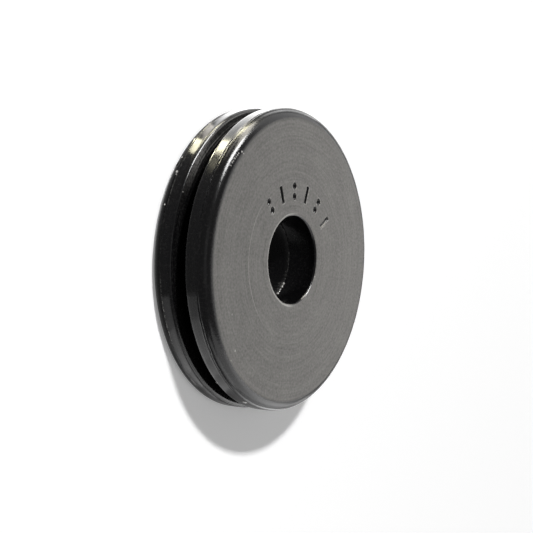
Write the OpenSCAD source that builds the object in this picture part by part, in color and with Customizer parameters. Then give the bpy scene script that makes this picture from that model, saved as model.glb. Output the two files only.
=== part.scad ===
// Round rubber grommet: two equal flanges with a narrow panel groove between them and a plain cable hole.
// One moulding, lying on its back flange: the back face is at z = 0 and the cable hole runs along Z.
// All sizes are in millimetres.

/* [Body] */
// Diameter over the flanges
outer_d = 31.75; // [29:0.05:40]
// Diameter of the cable hole
bore_d = 9.2; // [4:0.1:18]

/* [Flanges] */
// Thickness of each flange, from its outer face to the groove
flange_t = 2.55; // [2:0.05:5]
// Radius round the outer corner of each flange
corner_r = 1.15; // [0.3:0.05:1.4]

/* [Panel groove] */
// Width of the groove, for the edge of the sheet it fits
groove_w = 1.6; // [1:0.1:4]
// Diameter of the groove's floor, which fills the hole in the sheet
groove_d = 25.4; // [21:0.1:26]
// Radius on each lip, where a flange turns into the groove
lip_r = 0.4; // [0.1:0.05:0.5]
// Fillet between the groove's floor and its sides
root_r = 0.3; // [0.1:0.05:0.4]

/* [Cable hole] */
// Radius round each mouth of the cable hole
mouth_r = 0.3; // [0.1:0.05:0.8]

/* [Moulding seams] */
// How far a seam bead stands proud of the rubber
seam_h = 0.08; // [0.04:0.01:0.15]
// Radius of a seam bead's crown
seam_r = 0.12; // [0.1:0.01:0.2]

/* [Hidden] */
// Facets of the drawn circles
$fn = 128;
// How far a cutter runs past what it cuts
past = 0.2;

outer_r = outer_d / 2;
bore_r = bore_d / 2;
groove_r = groove_d / 2;
total_t = 2 * flange_t + groove_w;
middle_z = total_t / 2;

// Draws its children on the back flange's side and again on the front flange's, mirrored about mid-thickness.
module both_flanges() {
    children();
    translate([0, total_t]) mirror([0, 1]) children();
}

// What an outside corner loses when it is rounded. The corner is at the origin, with rubber to its left and above.
module corner_waste(r) {
    difference() {
        translate([-r, -past]) square(r + past);
        translate([-r, r]) circle(r);
    }
}

// What fills an inside corner that has a fillet. The corner is at the origin, with air to its right and above.
module fillet(r) {
    difference() {
        translate([-past, -past]) square(r + past);
        translate([r, r]) circle(r);
    }
}

// The thin bead that rubber leaves where two plates of the mould meet, on a wall at radius wall_r and height z.
// air_side is 1 where the air is outside the wall, and -1 where it is inside, as in the cable hole.
module seam_bead(wall_r, z, air_side) {
    translate([wall_r + air_side * (seam_h - seam_r), z]) circle(seam_r);
}

// Half of the section, from the cable hole's wall out to the flanges' rims.
module section() {
    difference() {
        translate([bore_r, 0]) square([outer_r - bore_r, total_t]);
        difference() {
            translate([groove_r, flange_t]) square([outer_r - groove_r + past, groove_w]);
            both_flanges() translate([groove_r, flange_t]) fillet(root_r);
        }
        both_flanges() {
            translate([outer_r, 0]) corner_waste(corner_r);
            translate([outer_r, flange_t]) mirror([0, 1]) corner_waste(lip_r);
            translate([bore_r, 0]) mirror([1, 0]) corner_waste(mouth_r);
        }
    }
    seam_bead(outer_r, corner_r, 1);
    seam_bead(outer_r, total_t - corner_r, 1);
    seam_bead(bore_r, middle_z, -1);
}

// The whole moulding: flanges, web and hub in one piece of rubber.
module grommet() {
    color([0.09, 0.09, 0.09]) rotate_extrude() section();
}

grommet();
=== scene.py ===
import math

import bpy
from mathutils import Matrix, Vector


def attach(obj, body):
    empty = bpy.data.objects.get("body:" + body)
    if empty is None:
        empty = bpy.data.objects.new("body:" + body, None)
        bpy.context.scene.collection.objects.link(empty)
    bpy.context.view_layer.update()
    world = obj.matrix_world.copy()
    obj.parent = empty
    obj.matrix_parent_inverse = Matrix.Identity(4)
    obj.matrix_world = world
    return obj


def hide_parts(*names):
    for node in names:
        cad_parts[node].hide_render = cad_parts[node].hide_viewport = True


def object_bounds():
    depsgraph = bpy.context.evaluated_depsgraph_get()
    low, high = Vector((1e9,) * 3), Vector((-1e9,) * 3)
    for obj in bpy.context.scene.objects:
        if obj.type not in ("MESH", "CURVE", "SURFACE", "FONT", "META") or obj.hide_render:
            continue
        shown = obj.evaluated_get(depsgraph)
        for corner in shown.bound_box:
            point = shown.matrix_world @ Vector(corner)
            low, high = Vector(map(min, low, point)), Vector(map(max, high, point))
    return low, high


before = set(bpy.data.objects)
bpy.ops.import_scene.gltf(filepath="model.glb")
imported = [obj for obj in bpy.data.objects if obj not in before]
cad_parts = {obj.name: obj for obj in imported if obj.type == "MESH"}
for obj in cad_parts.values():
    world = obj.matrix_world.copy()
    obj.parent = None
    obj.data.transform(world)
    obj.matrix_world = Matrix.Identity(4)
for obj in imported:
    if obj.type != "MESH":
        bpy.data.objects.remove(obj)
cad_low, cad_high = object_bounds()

# The grommet: one ring of black rubber, pressed and cured between mould plates, so it has no other piece.
# Its faces come off the plates satin and grey, a grey that is partly painted sheen, and its rims, lips and
# hole shine. Thin beads of rubber stand where the plates met, and a row of plain index marks is sunk in the
# front face, beside the cable hole.

# The ring's sizes in millimetres. The frame is in metres.
MM = 0.001
outer_r = 15.875
bore_r = 4.6
total_t = cad_high.z / MM
flange_t = 2.55
groove_r = 12.7
corner_r = 1.15
lip_r = 0.4
root_r = 0.3
mouth_r = 0.3
seam_h = 0.07
seam_reach = 0.16
index_r = 7.2
index_reach = 1.25
index_azimuth = 82
index_count = 6
index_step = 19.2
index_depth = 0.22
bar_long = 1.7
bar_wide = 0.34
dimple_r = 0.3
dimple_out = 0.55

# Half of the ring's section, drawn as one closed loop of rows that starts on the back face, at the hole.
front_z = total_t - flange_t
corner_mid = outer_r - corner_r
lip_mid = outer_r - lip_r
root_mid = groove_r + root_r
mouth_mid = bore_r + mouth_r
seam_turn = math.degrees(seam_reach / corner_r)
section = [(mouth_mid, 0.0)]


def straight(r, z, steps):
    """Adds rows to the section, from its last row straight to (r, z)."""
    last_r, last_z = section[-1]
    for i in range(1, steps + 1):
        section.append((last_r + (r - last_r) * i / steps, last_z + (z - last_z) * i / steps))


def arc(r, z, radius, start, end, steps):
    """Adds rows to the section round an arc about (r, z). Angles are in degrees, from straight out."""
    for i in range(1, steps + 1):
        angle = math.radians(start + (end - start) * i / steps)
        section.append((r + radius * math.cos(angle), z + radius * math.sin(angle)))


straight(corner_mid, 0, 6)
arc(corner_mid, corner_r, corner_r, -90, -seam_turn, 10)
arc(corner_mid, corner_r, corner_r, -seam_turn, 0, 4)
straight(outer_r, corner_r + seam_reach, 4)
straight(outer_r, flange_t - lip_r, 4)
arc(lip_mid, flange_t - lip_r, lip_r, 0, 90, 8)
straight(root_mid, flange_t, 4)
arc(root_mid, flange_t + root_r, root_r, -90, -180, 4)
straight(groove_r, front_z - root_r, 2)
arc(root_mid, front_z - root_r, root_r, 180, 90, 4)
straight(lip_mid, front_z, 4)
arc(lip_mid, front_z + lip_r, lip_r, -90, 0, 8)
straight(outer_r, total_t - corner_r - seam_reach, 4)
straight(outer_r, total_t - corner_r, 4)
arc(corner_mid, total_t - corner_r, corner_r, 0, seam_turn, 4)
arc(corner_mid, total_t - corner_r, corner_r, seam_turn, 90, 14)
straight(index_r + index_reach, total_t, 8)
straight(index_r - index_reach, total_t, 38)
straight(mouth_mid, total_t, 3)
arc(mouth_mid, total_t - mouth_r, mouth_r, 90, 180, 6)
straight(bore_r, total_t / 2 + seam_reach, 4)
straight(bore_r, total_t / 2 - seam_reach, 8)
straight(bore_r, mouth_r, 4)
arc(mouth_mid, mouth_r, mouth_r, 180, 270, 5)
section.pop()
section_mesh = bpy.data.meshes.new("section")
section_mesh.from_pydata([(r * MM, 0, z * MM) for r, z in section], [], [])


class Wire:
    """An output socket of a node tree. Arithmetic on a wire adds Math nodes to its tree."""

    def __init__(self, tree, socket=None):
        self.tree = tree
        self.socket = socket

    def node(self, kind, settings, sockets, out=0):
        """Adds a node to the tree: its settings first, then the values or wires of its sockets."""
        made = self.tree.nodes.new(kind)
        for name, value in settings.items():
            setattr(made, name, value)
        for name, value in sockets.items():
            if isinstance(value, Wire):
                self.tree.links.new(value.socket, made.inputs[name])
            else:
                made.inputs[name].default_value = value
        return Wire(self.tree, made.outputs[out])

    def math(self, operation, *values):
        return self.node("ShaderNodeMath", {"operation": operation}, dict(enumerate(values)))

    def __add__(self, other):
        return self.math("ADD", self, other)

    def __radd__(self, other):
        return self.math("ADD", other, self)

    def __sub__(self, other):
        return self.math("SUBTRACT", self, other)

    def __rsub__(self, other):
        return self.math("SUBTRACT", other, self)

    def __mul__(self, other):
        return self.math("MULTIPLY", self, other)

    def __rmul__(self, other):
        return self.math("MULTIPLY", other, self)

    def __truediv__(self, other):
        return self.math("DIVIDE", self, other)

    def __rtruediv__(self, other):
        return self.math("DIVIDE", other, self)

    def smooth(self, low, high, at_low=0.0, at_high=1.0):
        """at_low up to low, at_high from high on, and a soft step between them."""
        ends = {"From Min": low, "From Max": high, "To Min": at_low, "To Max": at_high}
        return self.node("ShaderNodeMapRange", {"interpolation_type": "SMOOTHSTEP"}, {"Value": self, **ends})

    def part(self, axis):
        """The wire's X, Y or Z."""
        return self.node("ShaderNodeSeparateXYZ", {}, {0: self}, axis)

    def off(self, x, y, z):
        """How far the wire's point is from (x, y, z), in mm."""
        ends = {0: self, 1: (x * MM, y * MM, z * MM)}
        return self.node("ShaderNodeVectorMath", {"operation": "DISTANCE"}, ends, "Value") / MM


def round_at(azimuth, r, z):
    """The point in mm at an azimuth in degrees from +X, a radius and a height."""
    return r * math.cos(math.radians(azimuth)), r * math.sin(math.radians(azimuth)), z


# The nicks and specks that handling left: azimuth, radius, height, reach, rise, and how pale each one is.
# A fall instead of a rise is a piece torn out. The last five are crumbs of flash on the seam in the hole,
# whose full paleness is a painted glint.
nicks = ((133.0, 14.50, total_t, 0.10, 0.0, 0.55), (133.5, 14.85, total_t, 0.13, 0.03, 0.8),
         (135.3, 15.06, total_t - 0.04, 0.10, 0.0, 0.7), (136.2, 15.06, total_t - 0.04, 0.11, 0.0, 0.8),
         (137.2, 15.08, total_t - 0.05, 0.10, 0.0, 0.6), (138.4, 15.13, total_t - 0.08, 0.14, 0.0, 0.6),
         (139.6, 15.12, total_t - 0.07, 0.10, 0.0, 0.7), (140.5, 15.16, total_t - 0.09, 0.13, 0.0, 0.5),
         (142.0, 15.14, total_t - 0.08, 0.10, 0.0, 0.5), (221.4, 13.60, total_t, 0.17, 0.0, 0.35),
         (206.1, 12.18, total_t, 0.14, 0.0, 0.2), (222.4, 14.72, total_t, 0.11, 0.0, 0.3),
         (231.5, 15.82, 4.35, 0.19, 0.05, 0.9), (246.5, 15.88, 5.47, 0.34, 0.06, 1.0),
         (143.6, 15.80, 0.62, 0.30, -0.28, 0.0), (160.5, 15.86, 0.94, 0.13, 0.05, 0.9),
         (147.2, 15.87, 1.09, 0.20, 0.05, 0.6), (148.3, 15.87, 1.16, 0.12, 0.03, 0.5),
         (140.5, 15.84, 0.85, 0.15, 0.05, 0.8), (155.0, 15.60, 2.52, 0.10, 0.0, 0.3),
         (180.5, 4.74, total_t, 0.12, -0.06, 0.0), (338.1, 4.84, total_t - 0.03, 0.12, 0.0, 0.5),
         (323.5, bore_r, 3.20, 0.22, 0.17, 1.0), (318.3, bore_r, 3.20, 0.22, 0.17, 1.0),
         (313.5, bore_r, 3.20, 0.16, 0.13, 1.0), (309.5, bore_r, 3.20, 0.16, 0.13, 1.0),
         (305.1, bore_r, 3.20, 0.22, 0.17, 1.0))

# The ring is turned from that section by a node tree, and the relief is raised on it: ragged seam beads, the
# index marks, and the nicks. The columns crowd round the index marks, where the relief is finest.
tree = bpy.data.node_groups.new("turned ring", "GeometryNodeTree")
tree.is_modifier = True
for name, kind in (("Section", "Geometry"), ("Columns", "Int"), ("Crowding", "Float"),
                   ("Crowded Angle", "Float"), ("Seam Height", "Float"), ("Mark Depth", "Float"),
                   ("Mark Radius", "Float"), ("Marks", "Int"), ("Mark Spacing", "Float"), ("Seed", "Float"),
                   ("Rubber", "Material")):
    tree.interface.new_socket(name=name, in_out="INPUT", socket_type="NodeSocket" + kind)
tree.interface.new_socket(name="Ring", in_out="OUTPUT", socket_type="NodeSocketGeometry")
given = tree.nodes.new("NodeGroupInput")
at = Wire(tree)


def size(name):
    """One of the tree's named inputs."""
    return Wire(tree, given.outputs[name])


count = at.node("GeometryNodeAttributeDomainSize", {"component": "MESH"}, {"Geometry": size("Section")},
                "Point Count")
grid = at.node("GeometryNodeMeshGrid", {}, {"Vertices X": size("Columns") + 1, "Vertices Y": count + 1})
index = at.node("GeometryNodeInputIndex", {}, {})
column = at.math("FLOOR", index / (count + 1))
row = at.math("MODULO", at.math("MODULO", index, count + 1), count)
even = column / size("Columns") * math.tau
angle = even - size("Crowding") * at.math("SINE", even - size("Crowded Angle"))
drawn_at = at.node("GeometryNodeInputPosition", {}, {})
spot = at.node("GeometryNodeSampleIndex", {"data_type": "FLOAT_VECTOR", "domain": "POINT"},
               {"Geometry": size("Section"), "Value": drawn_at, "Index": row})
turned = at.node("ShaderNodeCombineXYZ", {}, {"X": spot.part("X") * at.math("COSINE", angle),
                                              "Y": spot.part("X") * at.math("SINE", angle),
                                              "Z": spot.part("Z")})
ring = at.node("GeometryNodeSetPosition", {}, {"Geometry": grid, "Position": turned})
ring = at.node("GeometryNodeMergeByDistance", {}, {"Geometry": ring, "Distance": 0.001 * MM})

place = at.node("GeometryNodeInputPosition", {}, {})
height = place.part("Z") / MM
flat = at.node("ShaderNodeCombineXYZ", {}, {"X": place.part("X"), "Y": place.part("Y")})
radius = at.node("ShaderNodeVectorMath", {"operation": "LENGTH"}, {0: flat}, "Value") / MM
outward = at.node("GeometryNodeInputNormal", {}, {})


def ragged(scale, low, high):
    """Noise over the ring, from 0 to 1, with its grain size in turns per metre."""
    noise = at.node("ShaderNodeTexNoise", {"noise_dimensions": "4D"},
                    {"Vector": place, "W": size("Seed"), "Scale": scale, "Detail": 3.0})
    return noise.smooth(low, high)


seam_sway = 0.10
wander = seam_sway * ragged(700, 0.25, 0.75) - seam_sway / 2


def bead(middle, width):
    """A thin crest along the height middle, which wanders a little."""
    return at.math("ABSOLUTE", height - middle - wander).smooth(0, width, 1, 0)


on_rim = radius.smooth(outer_r - 0.1, outer_r - 0.05)
in_bore = radius.smooth(bore_r + 0.05, bore_r + 0.1, 1, 0)
bead_half = 0.08
crease_half = 0.06
rim_beads = 1.3 * bead(corner_r + 0.12, bead_half) + bead(total_t - corner_r, bead_half)
rim_creases = bead(corner_r, crease_half) + bead(total_t - corner_r + 0.1, crease_half)
torn = ragged(1100, 0.36, 0.6)
# The beads on the rims are worn down round three places: where each is, and where the wear ends.
unworn = 1
for worn_at, near, far in (((-15.9, 0, 3.3), 3.6, 5.4), ((-1.4, -15.8, 5.6), 6.5, 11.0),
                           ((0.0, 15.9, 5.6), 5.0, 8.0)):
    unworn = unworn * place.off(*worn_at).smooth(near, far, 0.15, 1)
rim_seams = on_rim * unworn * (0.4 * rim_beads * torn - 1.2 * rim_creases)
seams = (rim_seams + in_bore * bead(total_t / 2 - 0.1, 0.09)) * size("Seam Height")

nicked = 0
for azimuth, r, z, wide, rise, _ in nicks:
    nicked = nicked + place.off(*round_at(azimuth, r, z)).smooth(0, wide, rise * MM, 0)

# The index marks are bars and pairs of dimples by turns, and the face sinks wherever one of them lies.
number = at.node("GeometryNodeInputIndex", {}, {})
mark_angle = size("Crowded Angle") + (number - (size("Marks") - 1) / 2) * size("Mark Spacing")
mark_place = at.node("ShaderNodeCombineXYZ", {}, {"X": size("Mark Radius") * at.math("COSINE", mark_angle),
                                                  "Y": size("Mark Radius") * at.math("SINE", mark_angle),
                                                  "Z": total_t * MM})
posts = at.node("GeometryNodePoints", {}, {"Count": size("Marks"), "Position": mark_place})
bar = at.node("GeometryNodeMeshGrid", {}, {"Size X": bar_long * MM, "Size Y": bar_wide * MM,
                                           "Vertices X": 2, "Vertices Y": 2})
dimple = at.node("GeometryNodeMeshCircle", {"fill_type": "NGON"}, {"Vertices": 16, "Radius": dimple_r * MM})
pair = tree.nodes.new("GeometryNodeJoinGeometry")
for shift in (dimple_out * MM, -dimple_out * MM):
    one_dimple = at.node("GeometryNodeTransform", {}, {"Geometry": dimple, "Translation": (shift, 0, 0)})
    tree.links.new(one_dimple.socket, pair.inputs[0])
mark_turn = at.node("ShaderNodeCombineXYZ", {}, {"Z": mark_angle})
even_one = at.math("COMPARE", at.math("MODULO", number, 2), 0, 0.1)
marks = tree.nodes.new("GeometryNodeJoinGeometry")
for shape, chosen in ((bar, even_one), (Wire(tree, pair.outputs[0]), 1 - even_one)):
    placed = at.node("GeometryNodeInstanceOnPoints", {}, {"Points": posts, "Selection": chosen,
                                                          "Instance": shape, "Rotation": mark_turn})
    tree.links.new(placed.socket, marks.inputs[0])
cutters = at.node("GeometryNodeRealizeInstances", {}, {"Geometry": Wire(tree, marks.outputs[0])})
reach = at.node("GeometryNodeProximity", {"target_element": "FACES"}, {0: cutters}, "Distance") / MM
sunk = reach.smooth(0, 0.1, 1, 0) - 0.15 * reach.smooth(0.05, 0.12) * reach.smooth(0.12, 0.22, 1, 0)
relief = seams + nicked - sunk * size("Mark Depth")

lift = at.node("ShaderNodeVectorMath", {"operation": "SCALE"}, {0: outward, "Scale": relief})
ring = at.node("GeometryNodeSetPosition", {}, {"Geometry": ring, "Offset": lift})
ring = at.node("GeometryNodeSetShadeSmooth", {}, {"Geometry": ring})
ring = at.node("GeometryNodeRealizeInstances", {}, {"Geometry": ring})
ring = at.node("GeometryNodeSetMaterial", {}, {"Geometry": ring, "Material": size("Rubber")})
given_back = tree.nodes.new("NodeGroupOutput")
tree.links.new(ring.socket, given_back.inputs[0])

# The black rubber: satin and grey on the faces, a grey that is partly painted sheen, near black with a shine
# round the rims and in the hole, paler along the seams and at nicks and specks, and with painted highlights
# and glints on the seam beads, the marks' burrs, the crumbs in the hole and the hole's front mouth.
face_grey_and_sheen = (0.1165, 0.1123, 0.106)
rim_colour = (0.0020, 0.0019, 0.0022)
groove_side_grey_colour = (0.12, 0.117, 0.112, 1)
pale_colour = (0.547, 0.533, 0.506, 1)
face_roughness = 0.6
rim_roughness = 0.2
turned_line_r = 8.35
mouth_line_r = 5.7
rubber = bpy.data.materials.new("black rubber")
rubber.use_nodes = True
rubber.node_tree.nodes.clear()
mix = Wire(rubber.node_tree)
# Where the rubber is satin face, with its grey carried further onto the lit corners as painted light, where
# it stands proud, and where a nick shows pale.
where = mix.node("ShaderNodeTexCoord", {}, {}, "Object")
across = mix.node("ShaderNodeCombineXYZ", {}, {"X": where.part("X"), "Y": where.part("Y")})
distance = mix.node("ShaderNodeVectorMath", {"operation": "LENGTH"}, {0: across}, "Value") / MM
level = where.part("Z") / MM
from_face = mix.math("MINIMUM", mix.math("ABSOLUTE", total_t - level), mix.math("ABSOLUTE", level))
satin_depth = distance.smooth(7.0, 9.0, 0.05, 0.018)
# Painted light: the face's grey is carried further over the outer corner on the -Y, +X and +Y sides, where
# light falls on it.
painted_light_reach = mix.math("MAXIMUM", across.part("Y").smooth(-0.011, -0.003, 0.42, 0),
                     across.part("X").smooth(0.001, 0.006, 0, 0.5))
painted_light_reach = mix.math("MAXIMUM", painted_light_reach, across.part("Y").smooth(0.009, 0.015, 0, 0.3))
on_face = (from_face / satin_depth).smooth(0.6, 1.2, 1, 0) * (distance - painted_light_reach).smooth(14.2, 14.8, 1, 0)
# Painted glints on the burrs that stand proud round the index marks. Paler seam beads on the rim, partly
# rubbed flash and
# partly painted highlight. A paler bead in the hole.
proud_glint_and_pale = mix.math("MAXIMUM", (level - total_t).smooth(0.004, 0.02, 0, 3.0),
                 distance.smooth(outer_r + 0.015, outer_r + 0.05, 0, 0.3))
proud_glint_and_pale = mix.math("MAXIMUM", proud_glint_and_pale, distance.smooth(bore_r - 0.05, bore_r - 0.02, 0.8, 0))
pale = 0
for azimuth, r, z, wide, _, how_pale in nicks:
    pale = pale + where.off(*round_at(azimuth, r, z)).smooth(0.4 * wide, wide, how_pale, 0)
# Blotches, grain, the faint rings of the turned mould plate, and streaks drawn round the rims.
blotch = mix.node("ShaderNodeTexNoise", {}, {"Vector": where, "Scale": 300.0, "Detail": 4.0})
grain = mix.node("ShaderNodeTexNoise", {}, {"Vector": where, "Scale": 4000.0, "Detail": 2.0})
round_way = mix.node("ShaderNodeVectorMath", {"operation": "NORMALIZE"}, {0: across})
arcs = mix.node("ShaderNodeCombineXYZ", {}, {"X": round_way.part("X"), "Y": round_way.part("Y"),
                                             "Z": distance * 3})
ringed = mix.node("ShaderNodeTexNoise", {}, {"Vector": arcs, "Scale": 1.6, "Detail": 4.0})
drawn = mix.node("ShaderNodeCombineXYZ", {}, {"X": where.part("X"), "Y": where.part("Y"), "Z": level * 0.02})
drawn = mix.node("ShaderNodeTexNoise", {}, {"Vector": drawn, "Scale": 400.0, "Detail": 3.0})
tone = 1 + 0.4 * (blotch - 0.5) + 0.7 * (ringed - 0.5) + 1.0 * (grain - 0.5)
# Painted light: the face is made darker towards -X and lighter towards +X, as its sheen falls.
tone = tone + across.part("X").smooth(-0.015, 0.015, -0.10, 0.12)
turned_line = mix.math("ABSOLUTE", distance - turned_line_r).smooth(0.02, 0.09, 1, 0)
turned_line = turned_line * across.part("X").smooth(-0.0072, -0.0058, 1, 0)
mouth_line = mix.math("ABSOLUTE", distance - mouth_line_r).smooth(0.04, 0.16, 1, 0)
tone = tone + 0.65 * turned_line - 0.1 * mouth_line
face_tone = mix.node("ShaderNodeVectorMath", {"operation": "SCALE"}, {0: face_grey_and_sheen, "Scale": tone})
rim_tone = mix.node("ShaderNodeVectorMath", {"operation": "SCALE"},
                    {0: rim_colour, "Scale": 1 + 0.8 * (drawn - 0.5)})
skin = mix.node("ShaderNodeMix", {"data_type": "RGBA"}, {"Factor": on_face, 6: rim_tone, 7: face_tone}, 2)
# Paler grey on the groove's sides, mostly on the +Y side, a pale broken line along the back rim's seam,
# dust, painted glints and highlights on what stands proud, and a painted highlight round the front mouth of
# the hole on its -X side.
groove_side_grey = mix.math("ABSOLUTE", mix.math("ABSOLUTE", level - total_t / 2) - (total_t / 2 - flange_t))
groove_side_grey = groove_side_grey.smooth(0.02, 0.06, 1, 0) * distance.smooth(14.2, 15.1) * ringed.smooth(0.42, 0.58, 0.15, 1.1)
groove_side_grey = groove_side_grey * across.part("Y").smooth(0.006, 0.011, 0.04, 1) * grain.smooth(0.35, 0.6, 0.5, 1.2)
skin = mix.node("ShaderNodeMix", {"data_type": "RGBA"}, {"Factor": groove_side_grey, 6: skin, 7: groove_side_grey_colour}, 2)
# A pale broken line along the back rim's seam, fuller on the -Y side.
pale_back_seam_line = mix.math("ABSOLUTE", level - (corner_r + 0.15)).smooth(0.02, 0.1, 1, 0)
pale_back_seam_line = pale_back_seam_line * distance.smooth(15.7, 15.8) * blotch.smooth(0.45, 0.6) * grain.smooth(0.4, 0.55)
pale_back_seam_line = pale_back_seam_line * across.part("Y").smooth(-0.006, -0.002, 1, 0.3)
pale = mix.math("MAXIMUM", pale, 0.2 * pale_back_seam_line)
dust = 0.008 * grain.smooth(0.5, 0.7) * (1 - on_face)
scuffs_and_glints = mix.math("MAXIMUM", pale + dust, 0.1 * proud_glint_and_pale * grain.smooth(0.4, 0.6))
# Painted highlight on the front mouth of the hole, on its -X side.
mouth_highlight = distance.smooth(4.88, 5.0, 1, 0) * level.smooth(total_t - 0.2, total_t - 0.12)
mouth_highlight = mouth_highlight * across.part("X").smooth(-0.001, 0.001, 1, 0)
mouth_highlight_peak = round_at(331, 4.75, total_t)
scuffs_and_glints = mix.math("MAXIMUM", scuffs_and_glints, mouth_highlight * where.off(*mouth_highlight_peak).smooth(0.7, 1.3, 1.0, 0.4))
skin = mix.node("ShaderNodeMix", {"data_type": "RGBA"}, {"Factor": scuffs_and_glints, 6: skin, 7: pale_colour}, 2)
bumps = on_face * (ringed + grain * 0.5) + (1 - on_face) * (drawn * 0.6 + grain * 0.5)
bump = mix.node("ShaderNodeBump", {}, {"Strength": 0.25, "Distance": 0.05 * MM, "Height": bumps})
finish = mix.node("ShaderNodeBsdfPrincipled", {}, {
    "Base Color": skin, "Roughness": on_face.smooth(0, 1, rim_roughness, face_roughness),
    "Specular IOR Level": 0.07, "Normal": bump, "Coat Weight": pale.smooth(0.6, 0.9), "Coat Roughness": 0.2})
surface = rubber.node_tree.nodes.new("ShaderNodeOutputMaterial")
rubber.node_tree.links.new(finish.socket, surface.inputs["Surface"])

blank = bpy.data.objects.new("blank", section_mesh)
bpy.context.scene.collection.objects.link(blank)
shaper = blank.modifiers.new("turned ring", "NODES")
shaper.node_group = tree
sizes = {"Columns": 600, "Crowding": 0.45, "Crowded Angle": math.radians(index_azimuth),
         "Seam Height": seam_h * MM, "Mark Depth": index_depth * MM, "Mark Radius": index_r * MM,
         "Marks": index_count, "Mark Spacing": math.radians(index_step), "Seed": 3.0, "Rubber": rubber}
for item in tree.interface.items_tree:
    if item.name in sizes:
        shaper[item.identifier] = sizes[item.name]
shaped = blank.evaluated_get(bpy.context.evaluated_depsgraph_get())
grommet_mesh = bpy.data.meshes.new_from_object(shaped)
bpy.data.objects.remove(blank)
grommet = bpy.data.objects.new("moulded_grommet", grommet_mesh)
bpy.context.scene.collection.objects.link(grommet)
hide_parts("grommet")
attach(grommet, "root")

# The floor: one wide sheet of matt white card that the grommet lies on. It shows white to the camera and in
# the rubber's gloss, more so further out where less light falls, and it still takes the grommet's shadow.
def seen_in(mix):
    """1 for what the camera, gloss and glass see, and 0 for the light that a thing sends to others."""
    by_camera = mix.node("ShaderNodeLightPath", {}, {}, "Is Camera Ray")
    by_gloss = mix.node("ShaderNodeLightPath", {}, {}, "Is Glossy Ray")
    by_glass = mix.node("ShaderNodeLightPath", {}, {}, "Is Transmission Ray")
    return mix.math("MAXIMUM", by_camera, mix.math("MAXIMUM", by_gloss, by_glass))


near_glow = 0.22
far_glow = 0.85
glow_reach = 0.7
card = bpy.data.materials.new("white card")
card.use_nodes = True
card.node_tree.nodes.clear()
mix = Wire(card.node_tree)
way_out = mix.node("ShaderNodeTexCoord", {}, {}, "Object")
way_out = mix.node("ShaderNodeVectorMath", {"operation": "LENGTH"}, {0: way_out}, "Value")
glow = mix.node("ShaderNodeEmission", {}, {"Color": way_out.smooth(0, glow_reach, near_glow, far_glow),
                                           "Strength": seen_in(mix)})
matt = mix.node("ShaderNodeBsdfDiffuse", {}, {"Color": (0.88, 0.88, 0.88, 1)})
both = mix.node("ShaderNodeAddShader", {}, {0: matt, 1: glow})
surface = card.node_tree.nodes.new("ShaderNodeOutputMaterial")
card.node_tree.links.new(both.socket, surface.inputs["Surface"])
floor_half = 3.0
floor_mesh = bpy.data.meshes.new("floor")
floor_mesh.from_pydata([(-floor_half, -floor_half, 0), (floor_half, -floor_half, 0),
                        (floor_half, floor_half, 0), (-floor_half, floor_half, 0)], [], [(0, 1, 2, 3)])
floor_mesh.materials.append(card)
floor = bpy.data.objects.new("floor", floor_mesh)
bpy.context.scene.collection.objects.link(floor)

# The light: a weak even room, a key box high on the +Y side that casts the shadow, and a soft box on the -X
# side, over the camera. The strips, boards, walls and cards after them put no light on the rubber's colour:
# they only shine in its gloss, as bright things round a real grommet do.
room_light = 0.16
world = bpy.data.worlds.new("room")
world.use_nodes = True
world.node_tree.nodes.clear()
bpy.context.scene.world = world
mix = Wire(world.node_tree)
brightness = seen_in(mix).smooth(0, 1, room_light, 1.0)
room = mix.node("ShaderNodeBackground", {}, {"Color": (1, 1, 1, 1), "Strength": brightness})
surface = world.node_tree.nodes.new("ShaderNodeOutputWorld")
world.node_tree.links.new(room.socket, surface.inputs["Surface"])


def lamp(name, place, faces, along, wide, tall, radiance, colour=(1, 1, 1), only_shine=False):
    """A flat lamp that the camera can't see. It faces one way, and its width lies along another."""
    light = bpy.data.lights.new(name, "AREA")
    light.shape = "RECTANGLE"
    light.size = wide
    light.size_y = tall
    light.energy = radiance * wide * tall * math.pi
    light.color = colour
    box = bpy.data.objects.new(name, light)
    bpy.context.scene.collection.objects.link(box)
    back = -Vector(faces).normalized()
    side = Vector(along)
    side = (side - side.dot(back) * back).normalized()
    turn = Matrix((side, back.cross(side), back)).transposed().to_4x4()
    box.matrix_world = Matrix.Translation(place) @ turn
    box.visible_camera = False
    box.visible_diffuse = not only_shine
    return box


def toward(azimuth, elevation):
    """The direction from the grommet to something. Angles are in degrees, from +X and above the floor."""
    turn = math.radians(azimuth)
    lift = math.radians(elevation)
    return Vector((math.cos(turn) * math.cos(lift), math.sin(turn) * math.cos(lift), math.sin(lift)))


key_away = 1.0
top_away = 0.4
away = 0.6
white = (1, 1, 1)
cream = (1, 0.96, 0.86)
warm = (1, 0.95, 0.70)
key_way = toward(120, 44)
key = lamp("key box", key_way * key_away, -key_way, (1, 0, 0), 0.10, 0.06, 520)
key.visible_glossy = False
top_way = toward(180, 65)
lamp("top box", top_way * top_away, -top_way, (0, 1, 0), 0.20, 0.20, 1.3)
strip_low = toward(68, 41)
strip_high = toward(99, 48)
slant = strip_high - strip_low
strip_way = (strip_low + strip_high).normalized()
lamp("shine strip", strip_way * away, -strip_way, slant, 0.25, 0.16, 190, only_shine=True)
# Each board or wall on end: where it stands, how far it reaches up and across, and how bright it is.
for name, azimuth, elevation, tall, wide, radiance, colour in (
        ("tall strip", 77.5, 20, 0.40, 0.17, 56, cream), ("top board", 97, 5, 0.14, 0.20, 14, cream),
        ("right wall", 28, 28, 0.30, 0.70, 4, white), ("low wall", -68, 38, 0.50, 0.92, 7.2, white),
        ("low fill", -28, 38, 0.42, 0.40, 2.5, white), ("low side wall", -100, 7, 0.24, 0.52, 7, white),
        ("bottom board", -48, 6, 0.16, 0.56, 3.5, white)):
    way = toward(azimuth, elevation)
    lamp(name, way * away, -way, (0, 0, 1), tall, wide, radiance, colour, True)
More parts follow.
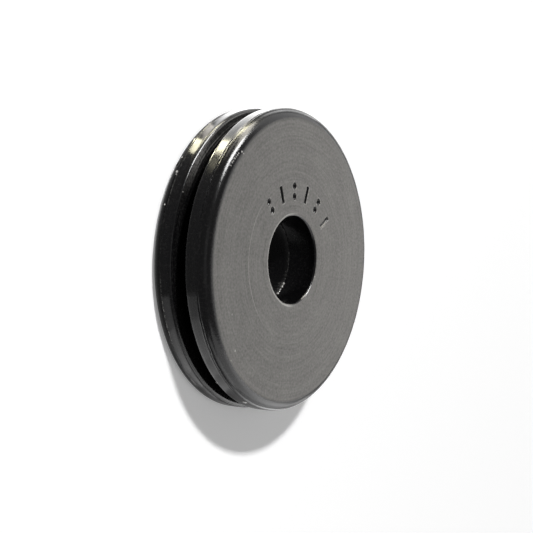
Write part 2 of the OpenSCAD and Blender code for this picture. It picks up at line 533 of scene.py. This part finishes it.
# The cards that lie round the grommet, just clear of the floor, and the small boards that stand there.
card_z = 0.0002
up = (0, 0, 1)
lamp("far warm patch", (-0.0108, 0.0185, card_z), up, (0, 1, 0), 0.0045, 0.0028, 86, warm, True)
lamp("near warm patch", (-0.01105, 0.01365, card_z), up, (0, 1, 0), 0.0022, 0.0021, 55, warm, True)
lamp("faint patch", (-0.0148, 0.0166, card_z), up, (0, 1, 0), 0.0032, 0.0030, 8, warm, True)
lamp("corner patch", (-0.0046, 0.0385, card_z), up, (0.25, 0.97, 0), 0.028, 0.006, 86, warm, True)
lamp("corner board", (0.0010, 0.0600, 0.0040), (-0.2, -1, 0), (1, 0, 0), 0.009, 0.008, 86, warm, True)
lamp("gap patch", (-0.0086, 0.0151, card_z), up, (1, 0, 0), 0.0028, 0.0015, 10, (1, 0.94, 0.86), True)
board_faces = (-0.6, -0.8, 0)
board_along = (0.8, -0.6, 0)
lamp("horizon board", (0.0240, 0.0360, 0.0045), board_faces, board_along, 0.030, 0.009, 3.8, only_shine=True)
lamp("near horizon board", (0.0175, 0.0408, 0.0046), board_faces, board_along, 0.014, 0.009, 3.2,
     only_shine=True)
lamp("top patch", (-0.0027, 0.0183, card_z), up, (1, 0, 0), 0.0135, 0.0054, 6, only_shine=True)
lamp("high patch", (0.0065, 0.0205, card_z), up, (1, 0, 0), 0.005, 0.007, 2.3, only_shine=True)
lamp("outer card", (0.0115, -0.0471, card_z), up, toward(-62, 0), 0.038, 0.030, 5, only_shine=True)
low_cards_r = 0.0205
for azimuth, radiance in ((203, 2.9), (214, 5.0), (225, 5.0), (236, 3.2), (248, 1.4)):
    foot = toward(azimuth, 0)
    card_place = foot * low_cards_r + Vector((0, 0, card_z))
    lamp("low card %d" % azimuth, card_place, up, foot, 0.007, 0.0045, radiance, only_shine=True)

# The camera: on the -X side, looking down at the ring from 33 degrees above the floor, with a long lens.
# It is rolled over, so that the ring seems to stand on its rim.
camera_place = Vector((-136.01, 4.249, 92.428)) * MM
camera_aim = Vector((0.83625, -0.03121, -0.54746))
camera_up = Vector((0.00688, 0.9989, -0.04644))
camera = bpy.data.objects.new("camera", bpy.data.cameras.new("camera"))
camera.data.lens = 103.72
camera.data.sensor_width = 36
camera.data.clip_start = 0.01
camera_right = camera_aim.cross(camera_up)
camera_turn = Matrix((camera_right, camera_up, -camera_aim)).transposed().to_4x4()
camera.matrix_world = Matrix.Translation(camera_place) @ camera_turn
bpy.context.scene.collection.objects.link(camera)
bpy.context.scene.camera = camera
bpy.context.scene.view_settings.view_transform = "Standard"
